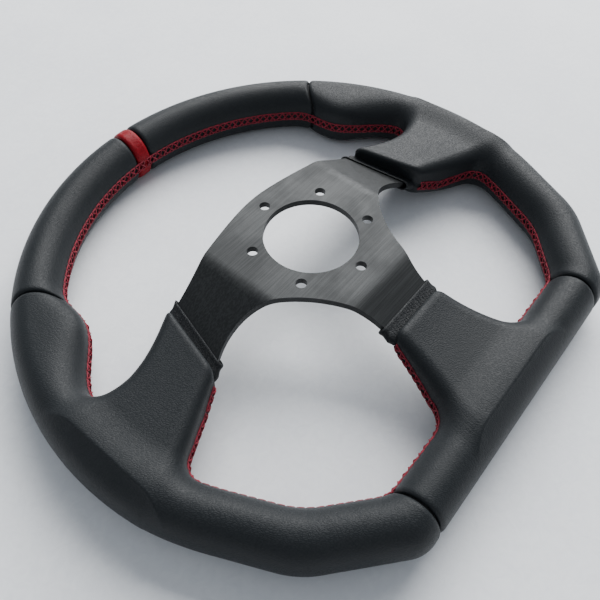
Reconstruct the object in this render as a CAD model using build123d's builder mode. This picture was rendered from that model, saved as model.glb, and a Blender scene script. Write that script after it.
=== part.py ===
from build123d import *
import math
import os

# Flat-bottomed racing wheel, in millimetres.
# +Z is the hub axis and points away from the driver, +Y points at the centre band,
# and z = 0 is the face of the hub plate that bolts against the boss.

# Hub plate
plate_thick = 4.0
bore_r = 27.5
bolt_circle_d = 70.0
bolt_hole_r = 3.2
bolt_count = 6
side_bend_at = 50.0
bottom_bend_at = 48.0
arm_slope = 0.4986
arm_drop = 27.0
bend_r = 16.0

# Rim
rim_r = 159.1
rim_z = -30.7
rim_half_width = 14.3
rim_half_height = 17.5
arc_end_deg = -12.0
rim_turn_run = 11.44
rim_shoulder = (128.4, -97.56)
rim_corner = (90.25, -130.9)
corner_r = 26.0

# Armature
tube_r = 6.0
tube_wall = 1.5
tab_thick = 3.0
rivet_r = 2.4
rivet_head_r = 4.2
rivet_head_h = 1.8

# Leather, band, cuffs and thread
leather_thick = 1.2
seam_gap = 0.4
seam_low = (76.8, 60.0)
seam_far = (240.0, 187.5)
bottom_seam_x = 83.0
band_width = 11.0
cuff_width = 6.5
cuff_thick = 1.6
thread_proud = 0.6
thread_width = 5.5

# Thumb rests
thumb_deg = 150.0
thumb_centre_r = 146.2
thumb_bend_r = 52.0
thumb_sweep_deg = 70.0
thumb_half_width = 13.0
thumb_half_height = 14.0

os.makedirs("parts", exist_ok=True)

# Side spoke cover: distance from the hub axis, lower edge, upper edge, underside, top.
side_cover = [
    (74.0, -4.0, 35.0, -22.0, -4.5),
    (88.0, -10.5, 31.2, -29.0, -8.5),
    (100.0, -15.5, 27.0, -35.0, -10.5),
    (112.0, -20.5, 23.8, -40.5, -12.2),
    (124.0, -27.0, 22.2, -43.2, -14.0),
    (134.0, -36.0, 23.5, -44.2, -14.6),
    (148.0, -54.7, 40.4, -44.8, -17.4),
]

# Bottom spoke cover: distance below the hub axis, half width, underside, top.
bottom_cover = [
    (66.0, 20.6, -19.5, -3.0),
    (74.0, 21.8, -24.0, -6.0),
    (86.0, 23.8, -31.0, -9.5),
    (97.0, 27.2, -37.5, -11.5),
    (107.0, 33.0, -42.2, -14.0),
    (114.0, 41.0, -44.2, -14.6),
    (121.0, 56.0, -44.7, -17.0),
]

# Cuff line on the side arms, in plan.
cuff_top = (76.5, 31.6)
cuff_low = (86.5, -8.6)
cuff_bottom_y = -65.5


def rim_line():
    with BuildLine() as line:
        arc = CenterArc((0, 0, rim_z), rim_r, arc_end_deg, 180 - 2 * arc_end_deg)
        right_turn = arc @ 0 - (arc % 0) * rim_turn_run
        left_turn = arc @ 1 + (arc % 1) * rim_turn_run
        turns = [rim_shoulder, rim_corner]
        left = [(-x, y, rim_z) for x, y in turns]
        right = [(x, y, rim_z) for x, y in reversed(turns)]
        FilletPolyline(arc @ 1, left_turn, *left, *right, right_turn, arc @ 0, radius=corner_r)
    return line.wire()


def swept(half_width, half_height):
    line = rim_line()
    with BuildPart() as ring:
        with BuildSketch(Plane(line @ 0, x_dir=(0, 0, 1), z_dir=line % 0)):
            Ellipse(half_height, half_width)
        sweep(path=line)
    return ring.part


# The bent line that an arm follows, at the given level above the mounting face.
def bent_edge(bend_at, level, far, sign=1):
    lean = math.tan(math.atan(arm_slope) / 2) * level
    foot = bend_at + arm_drop / arm_slope
    return FilletPolyline(
        (0, level),
        (sign * (bend_at + lean), level),
        (sign * (foot + lean), level - arm_drop),
        (sign * far, level - arm_drop),
        radius=bend_r,
    )


def side_sheet(up, down, far=200.0):
    with BuildPart() as sheet:
        with BuildSketch(Plane.XZ):
            with BuildLine():
                high = bent_edge(side_bend_at, up, far)
                low = bent_edge(side_bend_at, -down, far)
                Line(high @ 0, low @ 0)
                Line(high @ 1, low @ 1)
            make_face()
            mirror(about=Plane.YZ)
        extrude(amount=120, both=True)
    return sheet.part


def bottom_sheet(up, down, far=200.0):
    with BuildPart() as sheet:
        with BuildSketch(Plane.YZ):
            with BuildLine():
                high = bent_edge(bottom_bend_at, up, far, -1)
                low = bent_edge(bottom_bend_at, -down, far, -1)
                Line(high @ 0, low @ 0)
                Line(high @ 1, low @ 1)
            make_face()
        extrude(amount=120, both=True)
    return sheet.part


def prism(*points, low=-80.0, high=40.0):
    with BuildPart() as block:
        with BuildSketch(Plane.XY.offset(low)):
            with BuildLine():
                Polyline(*points, close=True)
            make_face()
        extrude(amount=high - low)
    return block.part


def mirrored(points):
    return [(-x, y) for x, y in points]


# Everything beyond the line at the given distance past the cuff's plate-side edge.
def beyond_side_cuff(gap):
    dx, dy = cuff_low[0] - cuff_top[0], cuff_low[1] - cuff_top[1]
    length = (dx * dx + dy * dy) ** 0.5
    nx, ny = -dy / length, dx / length
    tx, ty = dx / length, dy / length
    ax, ay = cuff_top[0] + nx * gap - tx * 60, cuff_top[1] + ny * gap - ty * 60
    bx, by = cuff_top[0] + nx * gap + tx * 100, cuff_top[1] + ny * gap + ty * 100
    return [(ax, ay), (ax + 160, ay), (bx + 160, by), (bx, by)]


def side_shoulder(d):
    with BuildPart() as shoulder:
        for x, y0, y1, z0, z1 in side_cover:
            with BuildSketch(Plane.YZ.offset(x)):
                with Locations(((y0 + y1) / 2, (z0 + z1) / 2)):
                    RectangleRounded(y1 - y0 + 2 * d, z1 - z0 + 2 * d, 6.5 + d)
        loft()
        add(prism(*beyond_side_cuff(cuff_width)), mode=Mode.INTERSECT)
    return shoulder.part


def bottom_shoulder(d):
    with BuildPart() as shoulder:
        for s, half, z0, z1 in bottom_cover:
            with BuildSketch(Plane.ZX.offset(-s)):
                with Locations(((z0 + z1) / 2, 0)):
                    RectangleRounded(z1 - z0 + 2 * d, 2 * half + 2 * d, 6.5 + d)
        loft()
        y = cuff_bottom_y - cuff_width
        add(prism((-90, y), (90, y), (90, -150), (-90, -150)), mode=Mode.INTERSECT)
    return shoulder.part


# A torus bump that leaves the rim's centreline, bulges inward and returns to it.
def thumb_rest(d):
    with BuildPart() as rest:
        with BuildSketch(Plane.XZ):
            with Locations((thumb_centre_r, rim_z)):
                Ellipse(thumb_half_width + d, thumb_half_height + d)
        axis = Axis((thumb_centre_r + thumb_bend_r, 0, 0), (0, 0, 1))
        revolve(axis=axis, revolution_arc=thumb_sweep_deg)
    turned = rest.part.rotate(axis, -thumb_sweep_deg / 2)
    return turned.rotate(Axis.Z, 180 - thumb_deg)


# The padded outline of rim, shoulders and thumb rests, grown or shrunk by d.
def padded_form(d):
    with BuildPart() as form:
        add(swept(rim_half_width + d, rim_half_height + d))
        add(side_shoulder(d))
        add(mirror(side_shoulder(d), about=Plane.YZ, mode=Mode.PRIVATE))
        add(bottom_shoulder(d))
        add(thumb_rest(d))
        add(mirror(thumb_rest(d), about=Plane.YZ, mode=Mode.PRIVATE))
    return form.part


def save(solid, name):
    solid.label = name
    export_step(solid, "parts/" + name + ".step")


# Saves a right-hand piece and its left-hand mirror image.
def save_pair(solid, name):
    save(solid, name)
    if "right" in name:
        twin = mirror(solid, about=Plane.YZ, mode=Mode.PRIVATE)
        save(twin, name.replace("right", "left"))


# Hub plate
join_y = -44.0
with BuildPart() as upper_plate:
    with BuildSketch(Plane.XY.offset(-60)):
        with BuildLine():
            top = Spline(
                (-76.5, 31.6), (-40, 38.4), (-15, 43.2), (0, 44.4),
                (15, 43.2), (40, 38.4), (76.5, 31.6),
            )
            Polyline(
                top @ 1, (90, 27), (100, 22), (110, 17), (122, 12), (134, 9),
                (134, -17), (122, -17), (110, -13.5), (98, -9.2), (86.5, -7.6),
            )
            Spline(
                (86.5, -7.6), (70, -4.3), (60, -6), (50, -11.2),
                (40, -20.6), (32.1, -31.5), (26, join_y),
            )
            Line((26, join_y), (-26, join_y))
            Spline(
                (-26, join_y), (-32.1, -31.5), (-40, -20.6), (-50, -11.2),
                (-60, -6), (-70, -4.3), (-86.5, -7.6),
            )
            Polyline(
                (-86.5, -7.6), (-98, -9.2), (-110, -13.5), (-122, -17), (-134, -17),
                (-134, 9), (-122, 12), (-110, 17), (-100, 22), (-90, 27), top @ 0,
            )
        make_face()
    extrude(amount=80)
    add(side_sheet(0, plate_thick), mode=Mode.INTERSECT)

with BuildPart() as lower_arm:
    with BuildSketch(Plane.XY.offset(-60)):
        with BuildLine():
            right_edge = Spline(
                (26, join_y), (22.4, -53), (20.5, -60), (19.6, -66.5),
                tangents=[(-4.5, -10.5), (-1.2, -7)],
            )
            Polyline(
                right_edge @ 1, (18.4, -76), (18.4, -119),
                (-18.4, -119), (-18.4, -76), (-19.6, -66.5),
            )
            Spline(
                (-19.6, -66.5), (-20.5, -60), (-22.4, -53), (-26, join_y),
                tangents=[(-1.2, 7), (-4.5, 10.5)],
            )
            Line((-26, join_y), (26, join_y))
        make_face()
    extrude(amount=80)
    add(bottom_sheet(0, plate_thick), mode=Mode.INTERSECT)

with BuildPart() as plate_blank:
    add(upper_plate.part)
    add(lower_arm.part)

side_rivets = [(119.0, 5.0), (122.0, -11.0)]
bottom_rivets = [(-9.0, -112.5), (9.0, -112.5)]
rivet_spots = side_rivets + mirrored(side_rivets) + bottom_rivets

with BuildPart() as spoke_plate:
    add(plate_blank.part)
    Cylinder(bore_r, 3 * plate_thick, mode=Mode.SUBTRACT)
    with PolarLocations(bolt_circle_d / 2, bolt_count, start_angle=90):
        Cylinder(bolt_hole_r, 3 * plate_thick, mode=Mode.SUBTRACT)
    with Locations([(x, y, -arm_drop) for x, y in rivet_spots]):
        Cylinder(rivet_r, 4 * plate_thick, mode=Mode.SUBTRACT)

# Armature ring
with BuildPart() as rim_armature:
    add(swept(tube_r, tube_r))
    add(swept(tube_r - tube_wall, tube_r - tube_wall), mode=Mode.SUBTRACT)

# Tabs
tab_top = -arm_drop - plate_thick


def tab(points):
    with BuildPart() as strap:
        add(prism(*points, low=tab_top - tab_thick, high=tab_top))
        add(swept(tube_r, tube_r), mode=Mode.SUBTRACT)
        with Locations([(x, y, tab_top) for x, y in rivet_spots]):
            Cylinder(rivet_r, 4 * tab_thick, mode=Mode.SUBTRACT)
    return strap.solids().sort_by(SortBy.VOLUME)[-1]


right_tab = [(112, 10), (112, -17), (158, -19), (158, 13)]
bottom_tab = [(-17, -107.5), (17, -107.5), (19, -129), (-19, -129)]


# Rivets
def rivet(x, y):
    grip = plate_thick + tab_thick
    with BuildPart() as pin:
        with Locations((x, y, -arm_drop - grip / 2)):
            Cylinder(rivet_r, grip)
        with Locations((x, y, -arm_drop + rivet_head_h / 2)):
            Cylinder(rivet_head_r, rivet_head_h)
        with Locations((x, y, -arm_drop - grip - rivet_head_h / 2)):
            Cylinder(rivet_head_r, rivet_head_h)
    return pin.part


metal = {
    "spoke_plate": spoke_plate.part,
    "rim_armature": rim_armature.part,
    "armature_tab_right": tab(right_tab),
    "armature_tab_left": tab(mirrored(right_tab)),
    "armature_tab_bottom": tab(bottom_tab),
    "rivet_right_upper": rivet(*side_rivets[0]),
    "rivet_right_lower": rivet(*side_rivets[1]),
    "rivet_left_upper": rivet(-side_rivets[0][0], side_rivets[0][1]),
    "rivet_left_lower": rivet(-side_rivets[1][0], side_rivets[1][1]),
    "rivet_bottom_left": rivet(*bottom_rivets[0]),
    "rivet_bottom_right": rivet(*bottom_rivets[1]),
}
for name, solid in metal.items():
    save(solid, name)

# Foam core
inner_form = padded_form(-leather_thick)
outer_form = padded_form(0)
thread_form = padded_form(thread_proud)

with BuildPart() as foam_core:
    add(inner_form)
    add(swept(tube_r, tube_r), mode=Mode.SUBTRACT)
    add(plate_blank.part, mode=Mode.SUBTRACT)
    for name, solid in metal.items():
        if name.startswith(("armature_tab", "rivet")):
            add(solid, mode=Mode.SUBTRACT)
save(foam_core.part, "foam_core")

# Leather panels, cut in plan
gap = seam_gap / 2
half_band = band_width / 2 + gap
top_right_cut = [
    (half_band, 60), (half_band, 240), (240, 240),
    (seam_far[0], seam_far[1] + 1.3 * gap), (seam_low[0], seam_low[1] + 1.3 * gap),
]
right_cut = [
    (seam_low[0], seam_low[1] - 1.3 * gap), (seam_far[0], seam_far[1] - 1.3 * gap),
    (240, -240), (bottom_seam_x + gap, -240), (bottom_seam_x + gap, -95),
    (40, -60), (40, 60),
]
edge = bottom_seam_x - gap
bottom_cut = [
    (-edge, -240), (edge, -240), (edge, -95), (40, -60), (-40, -60), (-edge, -95),
]
panels = {
    "leather_top_right": top_right_cut,
    "leather_right": right_cut,
    "leather_bottom": bottom_cut,
}
for name, cut in panels.items():
    with BuildPart() as panel:
        add(outer_form)
        add(prism(*cut), mode=Mode.INTERSECT)
        add(inner_form, mode=Mode.SUBTRACT)
        add(plate_blank.part, mode=Mode.SUBTRACT)
    save_pair(panel.part, name)

# Centre band
with BuildPart() as centre_band:
    add(swept(rim_half_width, rim_half_height))
    half = band_width / 2
    add(prism((-half, 60), (half, 60), (half, 240), (-half, 240)), mode=Mode.INTERSECT)
    add(swept(rim_half_width - leather_thick, rim_half_height - leather_thick), mode=Mode.SUBTRACT)
save(centre_band.part, "centre_band")

# Cuffs
with BuildPart() as cuff_right:
    start = beyond_side_cuff(0)
    stop = beyond_side_cuff(cuff_width)
    strip = [start[0], stop[0], stop[3], start[3]]
    add(prism(*strip))
    add(side_sheet(cuff_thick, plate_thick + cuff_thick), mode=Mode.INTERSECT)
    t = cuff_thick
    add(prism((70, 33.3 + t), (90, 27.5 + t), (90, -8.3 - t), (70, -6.4 - t)), mode=Mode.INTERSECT)
    add(plate_blank.part, mode=Mode.SUBTRACT)
save_pair(cuff_right.part, "cuff_right")

with BuildPart() as cuff_bottom:
    y0, y1 = cuff_bottom_y, cuff_bottom_y - cuff_width
    half = 20.2 + cuff_thick
    add(prism((-half, y0), (half, y0), (half - 1, y1), (1 - half, y1)))
    add(bottom_sheet(cuff_thick, plate_thick + cuff_thick), mode=Mode.INTERSECT)
    add(plate_blank.part, mode=Mode.SUBTRACT)
save(cuff_bottom.part, "cuff_bottom")

# Cross-stitching, as one flat run of thread for each edge
with BuildPart() as inside_rim:
    with BuildSketch(Plane.XY.offset(rim_z)):
        add(rim_line())
        make_face()
    extrude(amount=60, both=True)

half = thread_width / 2
with BuildPart() as side_thread_band:
    with BuildSketch(Plane.XZ):
        with BuildLine():
            Polyline(
                (80, -15.5 + half), (84, -17.5 + half), (112, rim_z + half), (190, rim_z + half),
                (190, rim_z - half), (112, rim_z - half), (84, -17.5 - half), (80, -15.5 - half),
                close=True,
            )
        make_face()
        mirror(about=Plane.YZ)
        with Locations((0, rim_z)):
            Rectangle(2 * 84, thread_width)
    extrude(amount=200, both=True)
with BuildPart() as bottom_thread_band:
    with BuildSketch(Plane.YZ):
        with BuildLine():
            Polyline(
                (-66, -11 + half), (-72, -14 + half), (-104, rim_z + half), (-190, rim_z + half),
                (-190, rim_z - half), (-104, rim_z - half), (-72, -14 - half), (-66, -11 - half),
                close=True,
            )
        make_face()
    extrude(amount=200, both=True)

upper_side = [(60, 12), (150, -10), (240, -10), (240, 187.5), (76.8, 60), (60, 60)]
lower_side = [
    (60, 12), (150, -10), (240, -10), (240, -240), (edge + seam_gap, -240),
    (edge + seam_gap, -95), (60, -60),
]
bottom_right = [(0, -60), (40, -60), (edge, -95), (edge, -240), (0, -240)]
runs = {
    "stitch_top_right": (top_right_cut, side_thread_band),
    "stitch_right_upper": (upper_side, side_thread_band),
    "stitch_right_lower": (lower_side, side_thread_band),
    "stitch_bottom_right": (bottom_right, bottom_thread_band),
}
for name, (cut, band) in runs.items():
    with BuildPart() as run:
        add(thread_form)
        add(prism(*cut), mode=Mode.INTERSECT)
        add(inside_rim.part, mode=Mode.INTERSECT)
        add(band.part, mode=Mode.INTERSECT)
        add(outer_form, mode=Mode.SUBTRACT)
    save_pair(run.part.solids().sort_by(SortBy.VOLUME)[-1], name)
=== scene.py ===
import bpy
import math
import numpy as np
from mathutils import Matrix, Vector


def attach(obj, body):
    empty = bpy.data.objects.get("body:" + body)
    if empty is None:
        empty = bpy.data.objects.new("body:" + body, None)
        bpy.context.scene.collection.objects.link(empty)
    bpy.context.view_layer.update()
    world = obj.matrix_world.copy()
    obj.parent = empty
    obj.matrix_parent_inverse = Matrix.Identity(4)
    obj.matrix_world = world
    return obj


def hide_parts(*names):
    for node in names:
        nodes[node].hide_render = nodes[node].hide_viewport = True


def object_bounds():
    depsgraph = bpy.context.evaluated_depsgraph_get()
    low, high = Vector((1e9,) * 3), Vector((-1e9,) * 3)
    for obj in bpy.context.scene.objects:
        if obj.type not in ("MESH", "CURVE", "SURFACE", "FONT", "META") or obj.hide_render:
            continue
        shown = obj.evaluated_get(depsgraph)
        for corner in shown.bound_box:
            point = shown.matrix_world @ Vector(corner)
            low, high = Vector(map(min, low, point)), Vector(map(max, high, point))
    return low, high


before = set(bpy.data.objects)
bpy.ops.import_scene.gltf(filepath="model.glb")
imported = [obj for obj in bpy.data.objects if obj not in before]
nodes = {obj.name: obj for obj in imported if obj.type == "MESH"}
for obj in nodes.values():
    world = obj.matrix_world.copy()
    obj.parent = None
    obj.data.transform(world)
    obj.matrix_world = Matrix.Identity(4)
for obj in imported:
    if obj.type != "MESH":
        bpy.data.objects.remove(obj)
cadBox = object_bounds()
scene = bpy.context.scene
mm = 0.001    # metres in a millimetre

print("shader groups")

floatSocket, vectorSocket = "NodeSocketFloat", "NodeSocketVector"

grainShape = {    # tight leather: pebbled grain and pulled creases
    "turn": 0.885,    # radians from +X to the way the grain is pulled
    "pull": (0.45, 1.0, 1.0),
    "swayScale": 0.6,
    "pebbleEdge": 0.26,
    "fineScale": 2.6,
    "pebbleHeight": 0.4,
    "fineHeight": 0.35,
    "around": 48.0,    # how quickly a crease changes along the rim, and across it
    "across": 300.0,
    "bendScale": 0.55,
    "bend": (2.4, 2.4, 2.4),
    "creaseStretch": (1.0, 0.2, 0.2),
    "creaseWidth": 0.05,
    "patchScale": 26.0,
    "patchRange": (0.38, 0.66),
    "broadScale": 11.0,
}

brushShape = {    # fine parallel lines, with smudges from handling
    "coarse": (0.8, 0.45, 0.45),
    "coarseRange": (0.4, 0.62),
    "smudgeRange": (0.35, 0.68),
}


def newGroup(name, inputs, outputs):
    group = bpy.data.node_groups.new(name, "ShaderNodeTree")
    for label, kind, value in inputs:
        socket = group.interface.new_socket(label, in_out="INPUT", socket_type=kind)
        socket.default_value = value
    for label, kind in outputs:
        group.interface.new_socket(label, in_out="OUTPUT", socket_type=kind)
    return group, group.nodes.new("NodeGroupInput"), group.nodes.new("NodeGroupOutput")


def addNode(tree, kind, sockets, **settings):    # sockets maps an input to a value or to another node's output
    node = tree.nodes.new(kind)
    for key, value in settings.items():
        setattr(node, key, value)
    for key, value in sockets.items():
        if isinstance(value, bpy.types.NodeSocket):
            tree.links.new(value, node.inputs[key])
        else:
            node.inputs[key].default_value = value
    return node


def calc(tree, operation, *values):
    return addNode(tree, "ShaderNodeMath", dict(enumerate(values)), operation=operation).outputs[0]


def weighted(tree, a, shareA, b, shareB):
    return calc(tree, "ADD", calc(tree, "MULTIPLY", a, shareA), calc(tree, "MULTIPLY", b, shareB))


def remap(tree, value, low, high, toLow=0.0, toHigh=1.0):
    sockets = {"Value": value, "From Min": low, "From Max": high, "To Min": toLow, "To Max": toHigh}
    return addNode(tree, "ShaderNodeMapRange", sockets, interpolation_type="SMOOTHSTEP").outputs[0]


def combine(tree, operation, a, b):
    return addNode(tree, "ShaderNodeVectorMath", {0: a, 1: b}, operation=operation).outputs[0]


def enlarged(tree, vector, factor):
    return addNode(tree, "ShaderNodeVectorMath", {0: vector, "Scale": factor}, operation="SCALE").outputs[0]


def noise(tree, vector, scale, detail, **more):
    return addNode(tree, "ShaderNodeTexNoise", {"Vector": vector, "Scale": scale, "Detail": detail, **more}).outputs


def putOut(group, result, **outputs):
    for label, socket in outputs.items():
        group.links.new(socket, result.inputs[label])


def buildGrainGroup():
    group, given, result = newGroup(
        "leatherGrain",
        [
            ("Position", vectorSocket, (0, 0, 0)),
            ("Grain Size", floatSocket, 1.3),
            ("Crease Depth", floatSocket, 0.5),
            ("Rim Radius", floatSocket, 0.158),
            ("Rim Level", floatSocket, -0.0307),
        ],
        [("Height", floatSocket), ("Tone", floatSocket), ("Polish", floatSocket)],
    )
    position = given.outputs["Position"]
    shape = grainShape

    # pebbles, drawn out along the pull
    perCell = calc(group, "DIVIDE", 1 / mm, given.outputs["Grain Size"])
    turnedBy = {"Vector": position, "Rotation": (0, 0, shape["turn"])}
    turned = addNode(group, "ShaderNodeMapping", turnedBy).outputs[0]
    scaled = enlarged(group, combine(group, "MULTIPLY", turned, shape["pull"]), perCell)
    sway = noise(group, scaled, shape["swayScale"], 2.0)["Color"]
    cellSockets = {"Vector": combine(group, "ADD", scaled, sway), "Scale": 1.0}
    cells = addNode(group, "ShaderNodeTexVoronoi", cellSockets, feature="DISTANCE_TO_EDGE")
    pebble = remap(group, cells.outputs["Distance"], 0.0, shape["pebbleEdge"])
    fine = noise(group, scaled, shape["fineScale"], 3.0)["Fac"]

    # creases, which run along the rim
    x, y, z = addNode(group, "ShaderNodeSeparateXYZ", {"Vector": position}).outputs
    square = calc(group, "ADD", calc(group, "MULTIPLY", x, x), calc(group, "MULTIPLY", y, y))
    outward = calc(group, "SUBTRACT", calc(group, "SQRT", square), given.outputs["Rim Radius"])
    rise = calc(group, "SUBTRACT", z, given.outputs["Rim Level"])
    runSockets = {
        "X": calc(group, "MULTIPLY", calc(group, "ARCTAN2", y, x), shape["around"]),
        "Y": calc(group, "MULTIPLY", outward, shape["across"]),
        "Z": calc(group, "MULTIPLY", rise, shape["across"]),
    }
    run = addNode(group, "ShaderNodeCombineXYZ", runSockets).outputs[0]
    bend = combine(group, "MULTIPLY", noise(group, run, shape["bendScale"], 2.0)["Color"], shape["bend"])
    bent = combine(group, "MULTIPLY", combine(group, "ADD", run, bend), shape["creaseStretch"])
    crease = noise(group, bent, 1.0, 4.0, Roughness=0.62)["Fac"]
    line = calc(group, "ABSOLUTE", calc(group, "SUBTRACT", crease, 0.5))
    pulled = calc(group, "SUBTRACT", remap(group, line, 0.0, shape["creaseWidth"]), 1.0)
    patches = noise(group, position, shape["patchScale"], 3.0)["Fac"]
    patch = remap(group, patches, *shape["patchRange"])
    creased = calc(group, "MULTIPLY", pulled, calc(group, "MULTIPLY", given.outputs["Crease Depth"], patch))

    grainHeight = weighted(group, pebble, shape["pebbleHeight"], fine, shape["fineHeight"])
    broad = noise(group, position, shape["broadScale"], 2.0)["Fac"]
    putOut(
        group, result,
        Height=calc(group, "ADD", grainHeight, creased),
        Tone=weighted(group, pebble, 0.4, broad, 0.6),
        Polish=weighted(group, patches, 0.5, pebble, 0.5),
    )
    return group


def buildBrushGroup():
    group, given, result = newGroup(
        "brushedLines",
        [
            ("Position", vectorSocket, (0, 0, 0)),
            ("Stretch", vectorSocket, (14.0, 1500.0, 1500.0)),
            ("Smudge Size", floatSocket, 24.0),
        ],
        [("Lines", floatSocket), ("Scratches", floatSocket), ("Smudges", floatSocket)],
    )
    position = given.outputs["Position"]
    run = combine(group, "MULTIPLY", position, given.outputs["Stretch"])
    coarse = noise(group, combine(group, "MULTIPLY", run, brushShape["coarse"]), 1.0, 2.0)["Fac"]
    smudges = noise(group, position, given.outputs["Smudge Size"], 4.0, Roughness=0.6)["Fac"]
    putOut(
        group, result,
        Lines=noise(group, run, 1.0, 5.0, Roughness=0.7)["Fac"],
        Scratches=remap(group, coarse, *brushShape["coarseRange"]),
        Smudges=remap(group, smudges, *brushShape["smudgeRange"]),
    )
    return group


def buildFibreGroup():    # short loose fibres and specks
    group, given, result = newGroup(
        "fibreSpecks",
        [("Position", vectorSocket, (0, 0, 0)), ("Size", floatSocket, 0.3)],
        [("Height", floatSocket), ("Tone", floatSocket)],
    )
    scaled = enlarged(group, given.outputs["Position"], calc(group, "DIVIDE", 1 / mm, given.outputs["Size"]))
    fibre = noise(group, scaled, 1.0, 3.0, Distortion=1.2)["Fac"]
    broad = noise(group, scaled, 0.08, 2.0)["Fac"]
    putOut(group, result, Height=fibre, Tone=weighted(group, fibre, 0.5, broad, 0.5))
    return group


grainGroup, brushGroup, fibreGroup = buildGrainGroup(), buildBrushGroup(), buildFibreGroup()

print("materials")

bumpDepth = {"leather": 0.5 * mm, "metal": 0.2 * mm, "fibre": 0.3 * mm}


def newMaterial(name):
    material = bpy.data.materials.new(name)
    material.use_nodes = True
    tree = material.node_tree
    return material, tree, tree.nodes["Principled BSDF"], tree.nodes.new("ShaderNodeTexCoord").outputs["Object"]


def placeGroup(tree, group, sockets):
    return addNode(tree, "ShaderNodeGroup", sockets, node_tree=group).outputs


def blendColours(tree, factor, look):
    sockets = {0: factor, 6: (*look["dark"], 1), 7: (*look["light"], 1)}
    return addNode(tree, "ShaderNodeMix", sockets, data_type="RGBA").outputs[2]


def connectLook(tree, shader, colour, roughness, height, strength, depth):
    bumpSockets = {"Height": height, "Strength": strength, "Distance": depth}
    tree.links.new(colour, shader.inputs["Base Color"])
    tree.links.new(roughness, shader.inputs["Roughness"])
    tree.links.new(addNode(tree, "ShaderNodeBump", bumpSockets).outputs[0], shader.inputs["Normal"])


def leatherMaterial(name, look):
    material, tree, shader, position = newMaterial(name)
    sockets = {"Position": position, "Grain Size": look["grain"], "Crease Depth": look["crease"]}
    grain = placeGroup(tree, grainGroup, sockets)
    colour = blendColours(tree, grain["Tone"], look)
    roughness = remap(tree, grain["Polish"], 0.2, 0.8, *look["roughness"])
    connectLook(tree, shader, colour, roughness, grain["Height"], look["bump"], bumpDepth["leather"])
    shader.inputs["Specular IOR Level"].default_value = look["specular"]
    return material


def metalMaterial(name, look):
    material, tree, shader, position = newMaterial(name)
    sockets = {"Position": position, "Stretch": look["stretch"], "Smudge Size": look["smudges"]}
    brush = placeGroup(tree, brushGroup, sockets)
    lines = weighted(tree, brush["Lines"], 0.8, brush["Scratches"], 0.2)
    colour = blendColours(tree, remap(tree, lines, 0.25, 0.75), look)
    roughness = remap(tree, brush["Smudges"], 0.0, 1.0, *look["roughness"])
    connectLook(tree, shader, colour, roughness, brush["Lines"], look["bump"], bumpDepth["metal"])
    shader.inputs["Metallic"].default_value = look["metallic"]
    return material


def fibreMaterial(name, look):
    material, tree, shader, position = newMaterial(name)
    fibre = placeGroup(tree, fibreGroup, {"Position": position, "Size": look["size"]})
    colour = blendColours(tree, remap(tree, fibre["Tone"], 0.3, 0.7), look)
    roughness = remap(tree, fibre["Height"], 0.3, 0.7, *look["roughness"])
    connectLook(tree, shader, colour, roughness, fibre["Height"], look["bump"], bumpDepth["fibre"])
    return material


blackLeather = leatherMaterial("blackLeather", {
    "dark": (0.0090, 0.0110, 0.0126), "light": (0.0200, 0.0227, 0.0250), "grain": 0.85, "crease": 0.6,
    "roughness": (0.42, 0.58), "bump": 0.3, "specular": 0.16,
})
flapLeather = leatherMaterial("flapLeather", {
    "dark": (0.007, 0.0085, 0.010), "light": (0.022, 0.024, 0.026), "grain": 0.8, "crease": 0.8,
    "roughness": (0.42, 0.58), "bump": 0.6, "specular": 0.2,
})
redLeather = leatherMaterial("redLeather", {
    "dark": (0.12, 0.0015, 0.005), "light": (0.27, 0.003, 0.011), "grain": 1.0, "crease": 0.4,
    "roughness": (0.38, 0.52), "bump": 0.4, "specular": 0.15,
})
plateMetal = metalMaterial("brushedPlate", {
    "dark": (0.0098, 0.0112, 0.0118), "light": (0.026, 0.028, 0.029),
    "stretch": (30.0, 2600.0, 2600.0), "smudges": 24.0,
    "roughness": (0.46, 0.58), "bump": 0.3, "metallic": 0.6,
})
millSteel = metalMaterial("millSteel", {
    "dark": (0.16, 0.16, 0.165), "light": (0.34, 0.34, 0.35),
    "stretch": (300.0, 300.0, 900.0), "smudges": 40.0,
    "roughness": (0.35, 0.55), "bump": 0.3, "metallic": 1.0,
})
rivetSteel = metalMaterial("rivetSteel", {
    "dark": (0.36, 0.36, 0.37), "light": (0.56, 0.56, 0.57),
    "stretch": (700.0, 700.0, 700.0), "smudges": 90.0,
    "roughness": (0.28, 0.42), "bump": 0.2, "metallic": 1.0,
})
mouldedFoam = fibreMaterial("mouldedFoam", {
    "dark": (0.010, 0.010, 0.011), "light": (0.030, 0.030, 0.031), "size": 0.9,
    "roughness": (0.8, 0.95), "bump": 0.8,
})
threadRed = fibreMaterial("threadRed", {
    "dark": (0.12, 0.001, 0.009), "light": (0.28, 0.003, 0.024), "size": 0.25,
    "roughness": (0.6, 0.8), "bump": 0.5,
})

print("padded form")

# Everything from here to the camera is in millimetres, in the wheel's own frame.
rim = {
    "radius": 159.1,
    "level": -30.7,
    "halfWidth": 14.3,
    "halfHeight": 17.5,
    "arcEnd": -12.0,
    "turn": (153.25, -44.27),
    "shoulder": (128.4, -97.56),
    "corner": (90.25, -130.9),
    "cornerRounding": 4.5,
    "blend": 11.0,
    "restRounding": 1.0,    # where the underside rests
}

thumb = {    # bulge of the thumb rests over the angle above 3 and 9 o'clock
    "angles": (12.0, 15.0, 18.0, 21.9, 25.0, 28.5, 32.0, 35.5, 38.5, 41.0, 43.0),
    "bulge": (0.0, 1.2, 3.8, 7.8, 10.4, 12.0, 11.7, 8.0, 3.0, 0.3, 0.0),
    "power": (2.0, 2.0, 2.1, 2.3, 2.8, 3.7, 3.8, 3.2, 2.4, 2.0, 2.0),
    "spread": 1.2,
}

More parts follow.
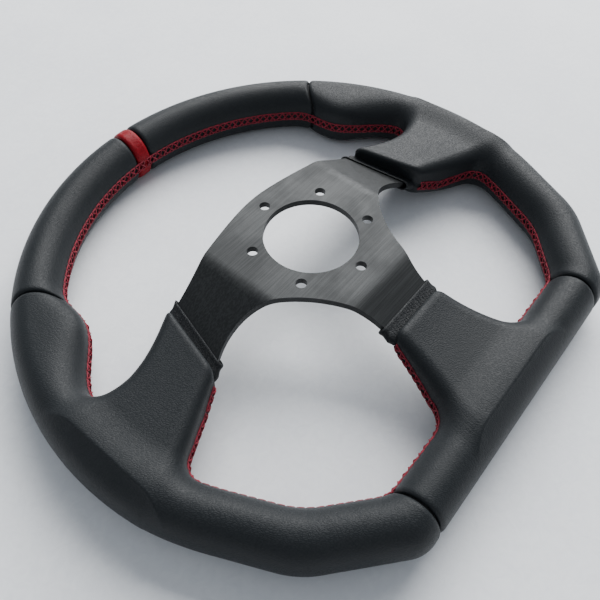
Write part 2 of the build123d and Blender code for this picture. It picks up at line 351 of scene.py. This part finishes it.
sideShoulder = {    # the cover's section, over the distance sideways from the hub axis
    "reach": (74, 88, 100, 112, 124, 134, 150),
    "lowEdge": (-4.0, -10.8, -15.8, -20.8, -26.4, -31.0, -38.0),
    "highEdge": (34.8, 29.8, 24.9, 21.4, 20.0, 21.8, 28.0),
    "underside": (-22.0, -29.0, -35.0, -40.5, -43.5, -44.5, -45.0),
    "top": (-4.6, -8.4, -10.2, -11.6, -12.6, -13.1, -13.4),
    "corner": (5.0, 5.6, 6.4, 7.4, 8.4, 9.0, 9.0),
}

bottomShoulder = {    # the same, over the distance below the hub axis
    "reach": (66, 74, 86, 97, 107, 114, 125),
    "halfWidth": (20.0, 21.4, 23.8, 26.8, 30.2, 33.2, 38.4),
    "underside": (-19.5, -24.0, -31.0, -37.5, -42.5, -44.5, -45.0),
    "top": (-3.2, -6.0, -9.2, -11.2, -12.6, -13.2, -13.6),
    "corner": (6.0, 6.5, 7.5, 8.5, 9.0, 9.0, 9.0),
}

shoulderFit = {
    "sideStop": 156.0,    # inside the rim, where each cover ends
    "bottomStop": 131.0,
    "boxSlope": 0.93,
    "tableSpread": 3.5,
}

cuffLine = {
    "top": (76.5, 31.6),
    "low": (86.5, -8.6),
    "bottomY": -65.5,
    "width": 6.5,
    "endRounding": 3.6,
    "bottomRounding": 6.1,
}

seam = {    # where the stitched seam runs, and how it pulls the leather in
    "sideRise": (80, 112),
    "sideLevel": -17.5,
    "sideReach": 48,
    "bottomRise": (70, 104),
    "bottomLevel": -14.0,
    "bottomReach": (62, 60),
    "fadeFrom": 4,
    "fadeRun": 5,
    "grooveDepth": 1.0,
    "grooveWidth": 1.2,
    "gather": 0.16,
    "gatherAt": 2.9,
    "gatherWidth": 1.7,
    "meanRadius": 142,
}

stitch = {
    "pitch": 4.7,
    "width": 5.8,
    "lane": 0.5,    # the edge threads, in widths from the seam
    "thread": 0.46,
    "lobes": 3,
    "lobeDepth": 0.17,
    "twist": 9.0,
    "buried": 0.55,    # how deep each end goes in
    "riseRun": 0.16,
    "crossLift": 0.7,
    "laneLift": 0.35,
    "overLift": 1.35,
    "overRun": 0.15,
    "steps": 13,
    "sides": 9,
}


def softMax(a, b, k):
    h = np.maximum(k - np.abs(a - b), 0) / k
    return np.maximum(a, b) + h * h * k / 4


def softMin(a, b, k):
    return -softMax(-a, -b, k)


def smoothTable(at, values, spread, step=0.5, beyond=20.0):    # a rounded-off curve through a few given points
    fine = np.arange(at[0] - beyond, at[-1] + beyond, step)
    raw = np.interp(fine, at, values)
    reach = int(4 * spread / step)
    kernel = np.exp(-0.5 * (np.arange(-reach, reach + 1) * step / spread) ** 2)
    padded = np.concatenate([np.full(reach, raw[0]), raw, np.full(reach, raw[-1])])
    return fine, np.convolve(padded, kernel / kernel.sum(), "valid")


def curves(table):
    spread = shoulderFit["tableSpread"]
    return {key: smoothTable(table["reach"], table[key], spread) for key in table if key != "reach"}


sideCurves = curves(sideShoulder)
bottomCurves = curves(bottomShoulder)
thumbBulge = smoothTable(thumb["angles"], thumb["bulge"], thumb["spread"])
thumbPower = smoothTable(thumb["angles"], thumb["power"], thumb["spread"])


def at(curve, x):
    return np.interp(x, curve[0], curve[1])


def lineThrough(p, q):    # normal, away from the hub, and offset of the line through p and q
    n = np.array([q[1] - p[1], p[0] - q[0]], float)
    n /= np.linalg.norm(n)
    c = n @ np.array(p)
    return (n, c) if c > 0 else (-n, -c)


endAngle = math.radians(rim["arcEnd"])
arcFoot = np.array([math.cos(endAngle), math.sin(endAngle)]) * rim["radius"]
lowerLines = [
    lineThrough(arcFoot, rim["turn"]),
    lineThrough(rim["turn"], rim["shoulder"]),
    lineThrough(rim["shoulder"], rim["corner"]),
    (np.array([0.0, -1.0]), -rim["corner"][1]),
]


def outwardOffset(x, y):    # distance outward from the rim's centreline, in plan
    ax = np.abs(x)
    upper = np.hypot(ax, y) - rim["radius"]
    lower = lowerLines[0][0][0] * ax + lowerLines[0][0][1] * y - lowerLines[0][1]
    for n, d in lowerLines[1:]:
        lower = softMax(lower, n[0] * ax + n[1] * y - d, rim["cornerRounding"])
    return np.where(np.arctan2(y, ax) > endAngle, upper, lower)


def ovalField(u, w, a, b, power):    # near enough the distance from an oval, or from a squarer one as power grows
    su, sw = np.abs(u) / a + 1e-6, np.abs(w) / b + 1e-6
    pu, pw = su ** (power - 1), sw ** (power - 1)
    total = pu * su + pw * sw
    k = total ** (1 / power)
    slope = np.hypot(pu / a, pw / b) * total ** (1 / power - 1)
    return (k - 1) / np.maximum(slope, 1e-6)


def roundedBox(u, w, halfU, halfW, r):
    qu, qw = np.abs(u) - halfU + r, np.abs(w) - halfW + r
    return np.hypot(np.maximum(qu, 0), np.maximum(qw, 0)) + np.minimum(np.maximum(qu, qw), 0) - r


def sideCuffDistance(x, y):    # past the plate-side edge of the side cuffs, positive towards the rim
    (x0, y0), (x1, y1) = cuffLine["top"], cuffLine["low"]
    length = math.hypot(x1 - x0, y1 - y0)
    return ((np.abs(x) - x0) * (y0 - y1) + (y - y0) * (x1 - x0)) / length


def seamLevel(x, y):    # height of the stitched seam
    ax = np.abs(x)
    side = np.interp(ax, seam["sideRise"], [seam["sideLevel"], rim["level"]])
    bottom = np.interp(-y, seam["bottomRise"], [seam["bottomLevel"], rim["level"]])
    onSide = (np.abs(y) < seam["sideReach"]) & (ax < seam["sideRise"][1])
    onBottom = (ax < seam["bottomReach"][0]) & (-y > seam["bottomReach"][1])
    return np.where(onBottom, bottom, np.where(onSide, side, rim["level"]))


def sideCover(x, y, z):
    ax = np.abs(x)
    low, high, under, top, corner = (
        at(sideCurves[key], ax) for key in ("lowEdge", "highEdge", "underside", "top", "corner")
    )
    box = roundedBox(y - (low + high) / 2, z - (under + top) / 2, (high - low) / 2, (top - under) / 2, corner)
    beforeCuff = cuffLine["width"] - sideCuffDistance(x, y)
    form = softMax(box * shoulderFit["boxSlope"], beforeCuff, cuffLine["endRounding"])
    return np.maximum(form, ax - shoulderFit["sideStop"])


def bottomCover(x, y, z):
    down = -y
    half, under, top, corner = (at(bottomCurves[key], down) for key in ("halfWidth", "underside", "top", "corner"))
    box = roundedBox(x, z - (under + top) / 2, half, (top - under) / 2, corner)
    beforeCuff = cuffLine["width"] - (cuffLine["bottomY"] - y)
    form = softMax(box * shoulderFit["boxSlope"], beforeCuff, cuffLine["bottomRounding"])
    return np.maximum(form, down - shoulderFit["bottomStop"])


def sewnIn(x, y, z, out):    # a groove along the seam, with gathers on both sides of it
    level = z - seamLevel(x, y)
    inner = np.clip((-out - seam["fadeFrom"]) / seam["fadeRun"], 0, 1)
    groove = seam["grooveDepth"] * np.exp(-((level / seam["grooveWidth"]) ** 2))
    along = np.arctan2(y, np.abs(x)) * seam["meanRadius"]
    gathers = seam["gather"] * np.cos(along * 2 * math.pi / stitch["pitch"])
    beside = np.exp(-(((np.abs(level) - seam["gatherAt"]) / seam["gatherWidth"]) ** 2))
    return inner * (groove + gathers * beside)


def paddedForm(x, y, z, sewn=True):
    out = outwardOffset(x, y)
    degrees = np.degrees(np.arctan2(y, np.abs(x)))
    bulge = np.where(out < 0, at(thumbBulge, degrees), 0.0)
    power = np.where(out < 0, at(thumbPower, degrees), 2.0)
    body = ovalField(out, z - rim["level"], rim["halfWidth"] + bulge, rim["halfHeight"], power)
    form = softMin(body, sideCover(x, y, z), rim["blend"])
    form = softMin(form, bottomCover(x, y, z), rim["blend"])
    form = softMax(form, rim["level"] - rim["halfHeight"] - z, rim["restRounding"])
    return form + sewnIn(x, y, z, out) if sewn else form


def surfaceNet(field, low, high, step):    # one point in each cell that the surface passes through, joined by quads
    axes = [np.arange(a, b + step, step) for a, b in zip(low, high)]
    x, y, z = np.meshgrid(*axes, indexing="ij")
    values = field(x, y, z).astype(np.float32)
    shape = np.array(values.shape)
    sums, counts = np.zeros((*(shape - 1), 3), np.float32), np.zeros(shape - 1, np.int16)
    crossings = []
    for axis in range(3):
        a = values[tuple(slice(0, -1) if i == axis else slice(None) for i in range(3))]
        b = values[tuple(slice(1, None) if i == axis else slice(None) for i in range(3))]
        cut = (a < 0) != (b < 0)
        crossings.append((cut, a < 0))
        t = np.where(cut, a / np.where(cut, a - b, 1), 0)
        others = [i for i in range(3) if i != axis]
        for i in (0, 1):
            for j in (0, 1):
                window = [slice(None)] * 3
                window[others[0]] = slice(i, shape[others[0]] - 1 + i)
                window[others[1]] = slice(j, shape[others[1]] - 1 + j)
                c, tt = cut[tuple(window)], t[tuple(window)]
                counts += c
                sums[..., axis] += tt * c
                sums[..., others[0]] += i * c
                sums[..., others[1]] += j * c
    active = counts > 0
    index = np.full(active.shape, -1, np.int64)
    index[active] = np.arange(active.sum())
    cells = np.argwhere(active)
    points = (cells + sums[active] / counts[active][:, None]) * step + np.array([a[0] for a in axes])
    quads = []
    for axis in range(3):
        cut, firstInside = crossings[axis]
        o1, o2 = [i for i in range(3) if i != axis]
        where = np.argwhere(cut)
        keep = (where[:, o1] > 0) & (where[:, o2] > 0)
        keep &= (where[:, o1] < shape[o1] - 1) & (where[:, o2] < shape[o2] - 1)
        where = where[keep]
        ring = []
        for i, j in ((0, 0), (1, 0), (1, 1), (0, 1)):
            cell = where.copy()
            cell[:, o1] -= i
            cell[:, o2] -= j
            ring.append(index[tuple(cell.T)])
        quad = np.stack(ring, 1)
        flip = firstInside[tuple(where.T)] == (axis == 1)
        quad[flip] = quad[flip][:, ::-1]
        quads.append(quad)
    return points, np.concatenate(quads)


def gradient(field, p, h=0.15):
    g = np.empty_like(p)
    for i in range(3):
        e = np.zeros(3)
        e[i] = h
        g[:, i] = (field(*(p + e).T) - field(*(p - e).T)) / (2 * h)
    return g


def unit(vectors):
    return vectors / np.linalg.norm(vectors, axis=-1, keepdims=True)


def settle(field, p, rounds, longest=1.2):    # moves points onto the surface of the field
    for _ in range(rounds):
        g = gradient(field, p)
        step = (field(*p.T) / np.maximum((g * g).sum(1), 1e-4))[:, None] * g
        size = np.linalg.norm(step, axis=1, keepdims=True)
        p = p - step * np.minimum(1, longest / np.maximum(size, 1e-9))
    return p


def relax(points, quads, field, rounds, ease=0.5):    # evens out the mesh and puts it back on the surface
    for _ in range(rounds):
        total, count = np.zeros_like(points), np.zeros(len(points))
        for i in range(4):
            a, b = quads[:, i], quads[:, (i + 1) % 4]
            for k in range(3):
                total[:, k] += np.bincount(a, points[b, k], len(points)) + np.bincount(b, points[a, k], len(points))
            count += np.bincount(a, minlength=len(points)) + np.bincount(b, minlength=len(points))
        points = points + ease * (total / np.maximum(count, 1)[:, None] - points)
        points = settle(field, points, 2)
    return points


def meshPiece(name, points, faces, material):    # points in millimetres
    data = bpy.data.meshes.new(name)
    data.from_pydata((np.asarray(points) * mm).tolist(), [], [list(map(int, f)) for f in faces])
    data.update()
    data.polygons.foreach_set("use_smooth", [True] * len(data.polygons))
    data.materials.append(material)
    piece = bpy.data.objects.new(name, data)
    scene.collection.objects.link(piece)
    return piece


def fieldPiece(name, field, low, high, step, material):
    points, quads = surfaceNet(field, low, high, step)
    points = settle(field, points, 2)
    points = relax(points, quads, field, 2)
    print("  ", name, len(points), "points")
    return meshPiece(name, points, quads, material)


def ride(piece, slot, *replaced):
    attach(piece, "root")
    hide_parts(*replaced)
    return piece


def mirroredPiece(piece):
    data = piece.data.copy()
    data.transform(Matrix.Scale(-1, 4, (1, 0, 0)))
    data.flip_normals()
    twin = bpy.data.objects.new(piece.name.replace("Right", "Left"), data)
    scene.collection.objects.link(twin)
    return twin


print("leather panels")

panel = {
    "wall": 2.6,
    "edgeRounding": 3.0,
    "seamGap": 0.35,
    "sideSeam": 38.0,    # degrees above 3 and 9 o'clock
    "seamBow": 4.0,
    "bottomSeam": 83.0,
    "bottomSeamFrom": -70,    # the bottom seam cuts the rim only below this
    "innerLimit": 30,
    "bottomLimit": 60,
    "bandHalf": 5.5,
    "bandGap": 0.1,
    "bandProud": 0.2,
    "bandStep": 0.7,
    "foamGap": 0.4,
    "foamStep": 3.0,
    "step": 0.95,
}

seamAngle = math.radians(panel["sideSeam"])


def aboveSideSeam(x, y):    # distance above the side seam, which bows towards 12 o'clock on its crest
    along = y * math.sin(seamAngle) + x * math.cos(seamAngle) - rim["radius"]
    bow = panel["seamBow"] * np.maximum(1 - (along / (rim["halfWidth"] + 1)) ** 2, 0)
    return y * math.cos(seamAngle) - x * math.sin(seamAngle) - bow


def shell(field, cut):    # a closed skin with its edges rolled in at the cut
    def wall(x, y, z):
        form = field(x, y, z)
        skin = softMax(form, cut(x, y), panel["edgeRounding"])
        return np.maximum(skin, -(form + panel["wall"]))
    return wall


# Each cut is negative where its panel is.
def topRightCut(x, y):
    return np.maximum(panel["bandHalf"] + panel["seamGap"] - x, panel["seamGap"] - aboveSideSeam(x, y))


def rightCut(x, y):
    below = np.maximum(panel["seamGap"] + aboveSideSeam(x, y), panel["innerLimit"] - x)
    outside = np.where(y < panel["bottomSeamFrom"], panel["bottomSeam"] + panel["seamGap"] - x, -50.0)
    return np.maximum(below, outside)


def bottomCut(x, y):
    return np.maximum(np.abs(x) - panel["bottomSeam"] + panel["seamGap"], y + panel["bottomLimit"])


def bandCut(x, y):
    return np.maximum(np.abs(x) - panel["bandHalf"] + panel["bandGap"], 60 - y)


def bandForm(x, y, z):
    return paddedForm(x, y, z) - panel["bandProud"]


def smoothForm(x, y, z):
    return paddedForm(x, y, z, sewn=False)


def foamForm(x, y, z):
    return smoothForm(x, y, z) + panel["wall"] + panel["foamGap"]


# name, cut, the two corners of the box that holds it, and the node it stands for
panels = (
    ("leatherPanelTopRight", topRightCut, (4, 84, -50), (150, 178, -12), "leather_top_right"),
    ("leatherPanelRight", rightCut, (70, -150, -50), (178, 116, -3), "leather_right"),
    ("leatherPanelBottom", bottomCut, (-86, -150, -50), (86, -66, -2), "leather_bottom"),
)
for name, cut, low, high, node in panels:
    piece = fieldPiece(name, shell(paddedForm, cut), low, high, panel["step"], blackLeather)
    ride(piece, "black_leather", node)
    if "Right" in name:
        twin = mirroredPiece(piece)
        ride(twin, "black_leather", node.replace("right", "left"))

bandShell = shell(bandForm, bandCut)
band = fieldPiece("centreBand", bandShell, (-8, 130, -52), (8, 180, -11), panel["bandStep"], redLeather)
ride(band, "red_leather", "centre_band")
foam = fieldPiece("foamMoulding", foamForm, (-178, -150, -50), (178, 178, -4), panel["foamStep"], mouldedFoam)
ride(foam, "foam", "foam_core")

print("stitching")

walk = {    # how the seam is followed in plan
    "step": 0.6,
    "nudge": 0.1,
    "mostSteps": 1500,
    "clearOfCuff": 2.5,
    "topStart": (0.5, 142.0),
    "sideStart": (140.0, -40.0),
}


def planForm(p):
    return smoothForm(p[:, 0], p[:, 1], seamLevel(p[:, 0], p[:, 1]))


def followEdge(start, heading, going):
    n = walk["nudge"]
    nudges = np.array([(0, 0), (n, 0), (-n, 0), (0, n), (0, -n)])
    settling = 3    # rounds on the spot, before the first step
    p, heading, found = np.array(start, float), np.array(heading, float), []
    for i in range(walk["mostSteps"]):
        value, right, left, up, down = planForm(p + nudges)
        slope = np.array([right - left, up - down]) / (2 * n)
        p = p - slope * value / max(slope @ slope, 0.05)
        if i > settling:
            found.append(p)
            if not going(p):
                break
        turn = np.array([-slope[1], slope[0]]) / np.hypot(*slope)
        heading = turn if turn @ heading > 0 else -turn
        p = p + heading * (walk["step"] if i > settling else 0)
    return np.array(found)


def awayFromCuff(p):
    return p[1] > 60 or sideCuffDistance(p[0], p[1]) > cuffLine["width"] + walk["clearOfCuff"]


def awayFromBottomCuff(p):
    return p[1] < cuffLine["bottomY"] - cuffLine["width"] - walk["clearOfCuff"] or p[0] > 60


def along(path, s):
    gone = np.concatenate([[0], np.cumsum(np.linalg.norm(np.diff(path, axis=0), axis=1))])
    return np.stack([np.interp(s, gone, path[:, k]) for k in range(path.shape[1])], -1), gone[-1]


def threadRoutes(path, count, pitch, steps):    # points on the skin and lifts above it, thread by thread
    points, lifts = [], []
    crossed = ((1, None), (-1, None))    # the two threads of each cross, then one on each edge
    straight = ((0, stitch["lane"]), (0, -stitch["lane"]))
    for i in range(count):
        for side, lane in crossed + straight:
            s = (i + steps) * pitch
            middle = along(path, s)[0]
            ahead = along(path, s + 0.5)[0] - along(path, s - 0.5)[0]
            ahead /= np.maximum(np.linalg.norm(ahead, axis=1, keepdims=True), 1e-6)
            across = np.cross(unit(gradient(smoothForm, middle)), ahead)
            offset = side * (steps - 0.5) if side else np.full(len(steps), lane)
            points.append(middle + across * (offset[:, None] * stitch["width"]))
            hump = np.exp(-(((steps - 0.5) / stitch["overRun"]) ** 2))
            over = stitch["overLift"] * stitch["thread"] * hump * (side == (-1) ** i)
            rise = np.clip(np.minimum(steps, 1 - steps) / stitch["riseRun"], 0, 1)
            top = stitch["thread"] * (stitch["crossLift"] if side else stitch["laneLift"])
            lifts.append(-stitch["buried"] + (stitch["buried"] + top) * rise * rise * (3 - 2 * rise) + over)
    return np.concatenate(points), np.concatenate(lifts)


def stitchRun(name, plan, node):
    path = np.column_stack([plan, seamLevel(plan[:, 0], plan[:, 1])])
    length = along(path, 0)[1]
    count = max(2, round(length / stitch["pitch"]))
    steps = np.linspace(0, 1, stitch["steps"])
    points, lifts = threadRoutes(path, count, length / count, steps)
    points = settle(smoothForm, points, 3)
    outside = unit(gradient(smoothForm, points))
    centre = (points + outside * lifts[:, None]).reshape(-1, len(steps), 3)
    forward = unit(np.gradient(centre, axis=1))
    sideways = unit(np.cross(forward, outside.reshape(centre.shape)))
    up = np.cross(sideways, forward)
    sides = stitch["sides"]
    turn = np.arange(sides) * 2 * math.pi / sides
    lobes = 1 + stitch["lobeDepth"] * np.cos(stitch["lobes"] * turn[None, :] - steps[:, None] * stitch["twist"])
    circle = np.cos(turn)[:, None] * sideways[:, :, None, :] + np.sin(turn)[:, None] * up[:, :, None, :]
    ring = stitch["thread"] * lobes[None, :, :, None] * circle
    vertices = (centre[:, :, None, :] + ring).reshape(-1, 3)
    faces = []
    perThread = len(steps) * sides
    for base in range(0, len(centre) * perThread, perThread):
        for a in range(base, base + perThread - sides, sides):
            faces += [(a + k, a + sides + k, a + sides + (k + 1) % sides, a + (k + 1) % sides) for k in range(sides)]
        faces.append([base + k for k in range(sides)])
        faces.append([base + perThread - sides + k for k in reversed(range(sides))])
    piece = meshPiece(name, vertices, faces, threadRed)
    ride(piece, "red_thread", node)
    print("  ", name, len(centre), "threads")
    return piece


topEdge = followEdge(walk["topStart"], (1, 0), awayFromCuff)
towardsCuff = followEdge(walk["sideStart"], (0, 1), awayFromCuff)
towardsBottom = followEdge(walk["sideStart"], (0, -1), awayFromBottomCuff)
lowEdgeRun = np.concatenate([towardsCuff[::-1], towardsBottom[1:]])
seamPoint = np.argmax(aboveSideSeam(topEdge[:, 0], topEdge[:, 1]) < 0)
cornerPoint = np.argmax((lowEdgeRun[:, 0] < panel["bottomSeam"]) & (lowEdgeRun[:, 1] < -90))
runs = (
    ("stitchingTopRight", topEdge[:seamPoint + 1], "stitch_top_right"),
    ("stitchingRightUpper", topEdge[seamPoint:], "stitch_right_upper"),
    ("stitchingRightLower", lowEdgeRun[:cornerPoint + 1], "stitch_right_lower"),
    ("stitchingBottomRight", lowEdgeRun[cornerPoint:], "stitch_bottom_right"),
)
for name, plan, node in runs:
    ride(mirroredPiece(stitchRun(name, plan, node)), "red_thread", node.replace("right", "left"))

print("cuffs")

cuff = {
    "length": 9.5,
    "overhang": 0.25,
    "wrinkle": 0.11,
    "wrinkleSpacing": 1.4,
    "nub": 0.8,
    "plateThick": 4.0,
    "slope": 0.4986,
    "sideBend": 50.0,
    "bottomBend": 48.0,
    "upperRun": (13.5, -4.6),    # the way each edge of a side arm runs
    "lowerRun": (11.5, -1.4),
    "lowerStart": (86.5, -7.6),
    "bottomHalf": 19.7,
    "bottomTaper": 0.13,
    "flatPoints": 120,
    "bendPoints": 12,
}

cuffProfile = [    # distance along the arm, height above it: the strip's cut through
    (0.35, 0.3), (-0.05, 0.55), (0.0, 0.9), (0.35, 1.12), (0.9, 1.15), (1.6, 1.05), (2.4, 1.0), (3.2, 1.0),
    (4.0, 1.05), (4.8, 1.1), (5.6, 1.2), (6.4, 1.25), (7.2, 1.2), (8.2, 1.1), (cuff["length"], 1.0),
    (cuff["length"], 0.03), (6.0, 0.03), (3.0, 0.03), (1.0, 0.08),
]


def aroundArm():    # place across the arm, then the upward and sideways parts of the way out
    flat, bend = cuff["flatPoints"], np.linspace(0, math.pi, cuff["bendPoints"])[1:-1]
    spots = [(t, 1.0, 0.0) for t in np.linspace(0, 1, flat)]
    spots += [(1, math.cos(a), math.sin(a)) for a in bend]
    spots += [(t, -1.0, 0.0) for t in np.linspace(1, 0, flat // 2)]
    return spots + [(0, math.cos(a), -math.sin(a)) for a in bend[::-1]]


def cuffSleeve(name, edgeA, edgeB, normal, seed, node):    # edgeA, edgeB: the arm's top edges, past the cuff's start
    random = np.random.default_rng(seed)
    half = cuff["plateThick"] / 2
    spots = aroundArm()
    waves = [(random.uniform(0.6, 1.6), random.uniform(0, 6.28), random.uniform(-0.25, 0.25)) for _ in range(5)]
    ends = [(random.uniform(4.6, 6.8), random.uniform(0.9, 1.5), random.uniform(0.7, 1.2)) for _ in range(6)]
    points = []
    for k, (t, up, side) in enumerate(spots):
        for d, height in cuffProfile:
            a, b = np.array(edgeA(d)), np.array(edgeB(d))
            width = np.linalg.norm(b - a)
            line = (b - a) / width
            if height > 0.5:    # the outside of the strip
                ripple = sum(
                    math.sin(width * t * 6.28 / (cuff["wrinkleSpacing"] * w) + start + d * lean * 3)
                    for w, start, lean in waves
                ) / 2.2
                height += cuff["wrinkle"] * ripple * min(1, 0.35 + d / 3)
                if abs(side) > 0.3:    # the gathered ends
                    where, spread, size = ends[(0 if t == 1 else 3) + k % 3]
                    height += cuff["nub"] * size * abs(side) * math.exp(-(((d - where) / spread) ** 2))
            middle = a + (b - a) * t - normal * half
            direction = normal * up + line * side
            points.append(middle + direction * (half + height) + line * side * cuff["overhang"])
    n, m = len(spots), len(cuffProfile)
    faces = [
        (i * m + j, (i + 1) % n * m + j, (i + 1) % n * m + (j + 1) % m, i * m + (j + 1) % m)
        for i in range(n) for j in range(m)
    ]
    piece = meshPiece(name, points, faces, flapLeather)
    return ride(piece, "black_leather", node)


def armLevel(outward, bend):
    return -(outward - bend) * cuff["slope"]


def sideEdge(start, run):
    across = sideCuffDistance(cuffLine["top"][0] + run[0], cuffLine["top"][1] + run[1])

    def edge(d):
        x, y = start[0] + run[0] * d / across, start[1] + run[1] * d / across
        return (x, y, armLevel(x, cuff["sideBend"]))
    return edge


def bottomEdge(sign):
    def edge(d):
        down = d - cuffLine["bottomY"]
        x = sign * (cuff["bottomHalf"] - cuff["bottomTaper"] * d)
        return (x, -down, armLevel(down, cuff["bottomBend"]))
    return edge


sideNormal = np.array([cuff["slope"], 0, 1]) / math.hypot(cuff["slope"], 1)
bottomNormal = np.array([0, -cuff["slope"], 1]) / math.hypot(cuff["slope"], 1)
upperEdge = sideEdge(cuffLine["top"], cuff["upperRun"])
lowerEdge = sideEdge(cuff["lowerStart"], cuff["lowerRun"])
sleeve = cuffSleeve("cuffRight", upperEdge, lowerEdge, sideNormal, 4, "cuff_right")
ride(mirroredPiece(sleeve), "black_leather", "cuff_left")
cuffSleeve("cuffBottom", bottomEdge(1), bottomEdge(-1), bottomNormal, 9, "cuff_bottom")

print("metal")

finishes = {"spoke_plate": plateMetal, "rim_armature": millSteel, "armature_tab": millSteel, "rivet": rivetSteel}
for name, node in nodes.items():
    for start, finish in finishes.items():
        if name.startswith(start):
            node.data.materials.clear()
            node.data.materials.append(finish)

print("camera, floor and light")

view = {
    "lens": 38.015,
    "sensor": 36,
    "nearest": 0.01,
    "place": (-0.19202, -0.14458, 0.26908),
    "turn": (35.8665, -0.7668, -50.6447),
}
cameraData = bpy.data.cameras.new("camera")
cameraData.lens = view["lens"]
cameraData.sensor_width = view["sensor"]
cameraData.clip_start = view["nearest"]
camera = bpy.data.objects.new("camera", cameraData)
camera.location = view["place"]
camera.rotation_euler = [math.radians(angle) for angle in view["turn"]]
scene.collection.objects.link(camera)
scene.camera = camera

table = {"reach": 3.0, "gap": 0.0002, "dark": (0.80, 0.82, 0.85), "light": (0.88, 0.90, 0.92), "fibre": 6.0}
floorZ = cadBox[0][2] - table["gap"]
corners = [(x * table["reach"], y * table["reach"], floorZ) for x, y in ((-1, -1), (1, -1), (1, 1), (-1, 1))]
floorData = bpy.data.meshes.new("floor")
floorData.from_pydata(corners, [], [(0, 1, 2, 3)])
floorData.materials.append(fibreMaterial("paleCloth", {
    "dark": table["dark"], "light": table["light"], "size": table["fibre"],
    "roughness": (0.85, 0.95), "bump": 0.25,
}))
floor = bpy.data.objects.new("floor", floorData)
scene.collection.objects.link(floor)

studio = {
    "surround": (0.86, 0.92, 1.0, 1),
    "surroundStrength": 0.50,
    "windowPlace": (1.87, 0.83, 1.6),
    "windowSize": (2.6, 2.0),
    "windowPower": 190,
}
world = bpy.data.worlds.new("world")
scene.world = world
world.use_nodes = True
background = world.node_tree.nodes["Background"]
background.inputs["Color"].default_value = studio["surround"]
background.inputs["Strength"].default_value = studio["surroundStrength"]

windowData = bpy.data.lights.new("window", "AREA")
windowData.shape = "RECTANGLE"
windowData.size, windowData.size_y = studio["windowSize"]
windowData.energy = studio["windowPower"]
window = bpy.data.objects.new("window", windowData)
window.location = studio["windowPlace"]
window.rotation_euler = (-Vector(studio["windowPlace"])).to_track_quat("-Z", "Y").to_euler()
scene.collection.objects.link(window)
